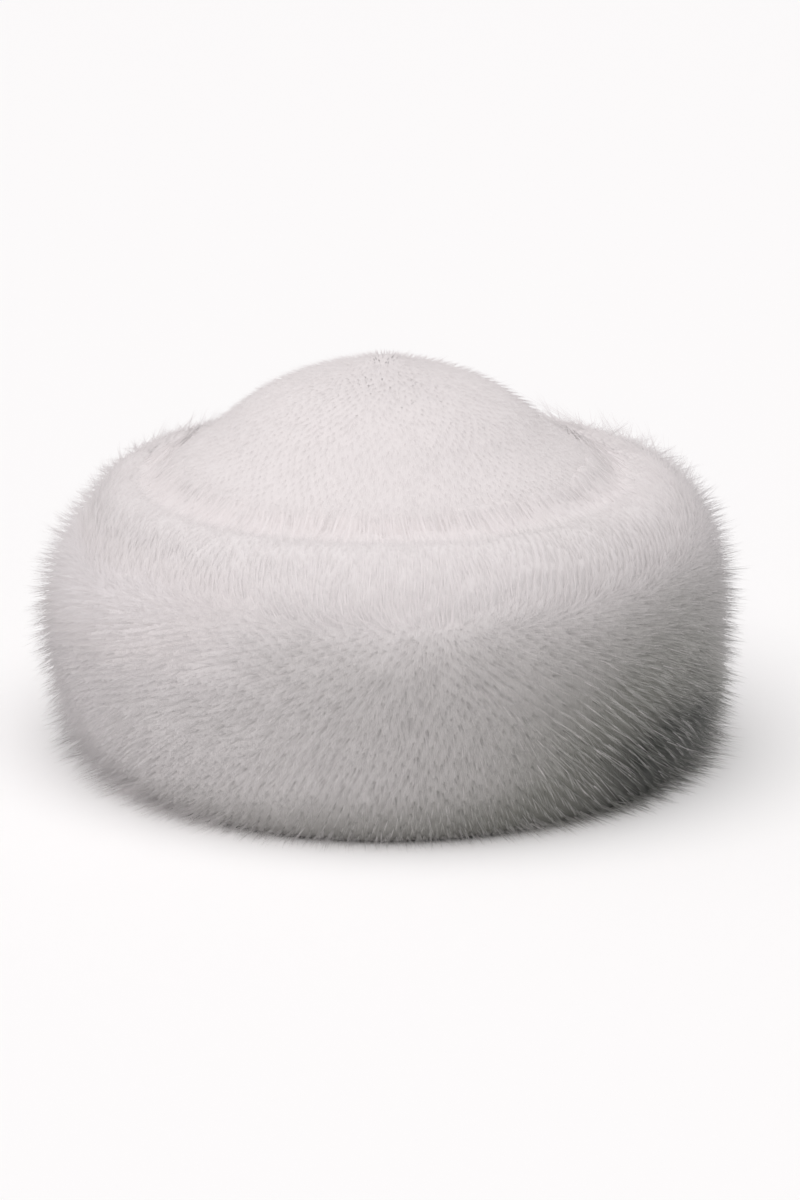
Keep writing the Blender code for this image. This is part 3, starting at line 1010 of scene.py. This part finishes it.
# name, tufts, hairs in each, where along the section they start and end, look and seed
GUARDS = (
    ("cuff_guard_hairs", 8800, 4, 0.20, 0.92, FUZZ_LOOK, 31),
    ("cuff_tufts", 1700, 5, 0.20, 0.92, TUFT_LOOK, 61),
    ("cuff_foot_hairs", 1500, 5, 0.215, 0.290, FOOT_LOOK, 71),
)
for name, count, each, low, high, look, seed in GUARDS:
    hairs, _ = tufts(cuff_fur, cuff_flow, count, each, low, high, look, seed)
    piece = hair_mesh(name, hairs, hair_material)
    cuff_hair.append(piece)
    print(piece.name, len(piece.data.polygons), "triangles")

# %% The pile
PILE_LOOK = {
    "stray": 0.09, "sway": 0.35, "lock": 0.010, "pull": 0.08, "lean": 1.0,
    "spread": 0.66, "gather": 0.75, "fray": 0.05,
    "depth": 0.0030, "height": 0.0014, "varies": 0.0003, "tall": 0.0, "ragged": 0.0020,
    "width": 0.00036, "lighter": 0.0, "mottle": 0.03, "fleck": 0.04, "shift": 0.0,
}
WISP_LOOK = dict(PILE_LOOK, stray=0.12, gather=0.50, height=0.0030, tall=0.0014, ragged=0.0032,
                 width=0.00030, lean=0.95, shift=-0.02)
PILE_FROM, PILE_TO = 0.10, 0.999
PILES = (("crown_pile", 3600, 6, PILE_LOOK, 21), ("crown_guard_hairs", 1000, 3, WISP_LOOK, 41))
crown_hair = []
for name, count, each, look, seed in PILES:
    hairs, _ = tufts(crown_point, crown_flow, count, each, PILE_FROM, PILE_TO, look, seed)
    piece = hair_mesh(name, hairs, hair_material)
    crown_hair.append(piece)
    print(piece.name, len(piece.data.polygons), "triangles")

# %% [markdown]
# ## Light that passes through hair
# Real hair is clear enough to let most light through to the hairs behind it. These hairs are
# opaque, and thousands of small dark shadows would make the coat look bristly. So the hairs cast
# no shadows. The underfur does, on itself and on the floor.

# %% No shadows from single hairs
for piece in cuff_hair + crown_hair:
    piece.visible_shadow = False

# %% [markdown]
# ## What each piece stands for
# Every new piece moves with the hat's one body and stands for the plain solid under it. The cuff
# is a firmly padded roll.

# %% Bodies and solids
for piece in [cuff_under, *cuff_hair]:
    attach(piece, "root")
    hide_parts("cuff")
for piece in [crown_under, *crown_hair]:
    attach(piece, "root")
    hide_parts("crown")
print("pieces:", len(cuff_hair + crown_hair) + 2)

# %% [markdown]
# ## Floor and light
# The photograph is a cut-out on white, lit softly from high on the left: the crown and the left
# of the cuff are nearly white, and the lower right falls into grey. A large pale floor and one
# big soft lamp give part of that, and the painted shade and painted light in the fur's tone give
# the rest. A dim white sky fills the shade.

# %% The floor
FLOOR_HALF = 7.0
FLOOR_COLOUR = (0.92, 0.92, 0.92, 1.0)
corners = [(-1, -1), (1, -1), (1, 1), (-1, 1)]
floor_mesh = bpy.data.meshes.new("floor")
floor_mesh.from_pydata([(FLOOR_HALF * x, FLOOR_HALF * y, 0.0) for x, y in corners], [],
                       [(0, 1, 2, 3)])
floor = bpy.data.objects.new("floor", floor_mesh)
bpy.context.scene.collection.objects.link(floor)
floor_finish = Finish("floor")
floor_finish.fill(floor_finish.surface.inputs, {"Base Color": FLOOR_COLOUR, "Roughness": 0.9})
floor_mesh.materials.append(floor_finish.material)
print("the floor is", 2 * FLOOR_HALF, "metres wide")

# %% Key light and sky
KEY_TURN = math.radians(-30)
KEY_HEIGHT = math.radians(76)
KEY_POWER = 2.36
KEY_SOFTNESS = math.radians(80)
KEY_COLOUR = (1.0, 0.965, 0.96)
SKY_COLOUR = (0.97, 0.985, 1.0, 1.0)
SKY_POWER = 0.36
key = bpy.data.objects.new("key", bpy.data.lights.new("key", "SUN"))
key.data.energy = KEY_POWER
key.data.angle = KEY_SOFTNESS
key.data.color = KEY_COLOUR
key.rotation_euler = (math.pi / 2 - KEY_HEIGHT, 0.0, KEY_TURN)
bpy.context.scene.collection.objects.link(key)
sky = bpy.data.worlds.new("sky")
bpy.context.scene.world = sky
sky.use_nodes = True
background = sky.node_tree.nodes["Background"]
background.inputs["Color"].default_value = SKY_COLOUR
background.inputs["Strength"].default_value = SKY_POWER
bpy.context.scene.view_settings.view_transform = "Standard"
bpy.context.scene.cycles.diffuse_bounces = 6
print("lamps:", key.name, "and the sky")
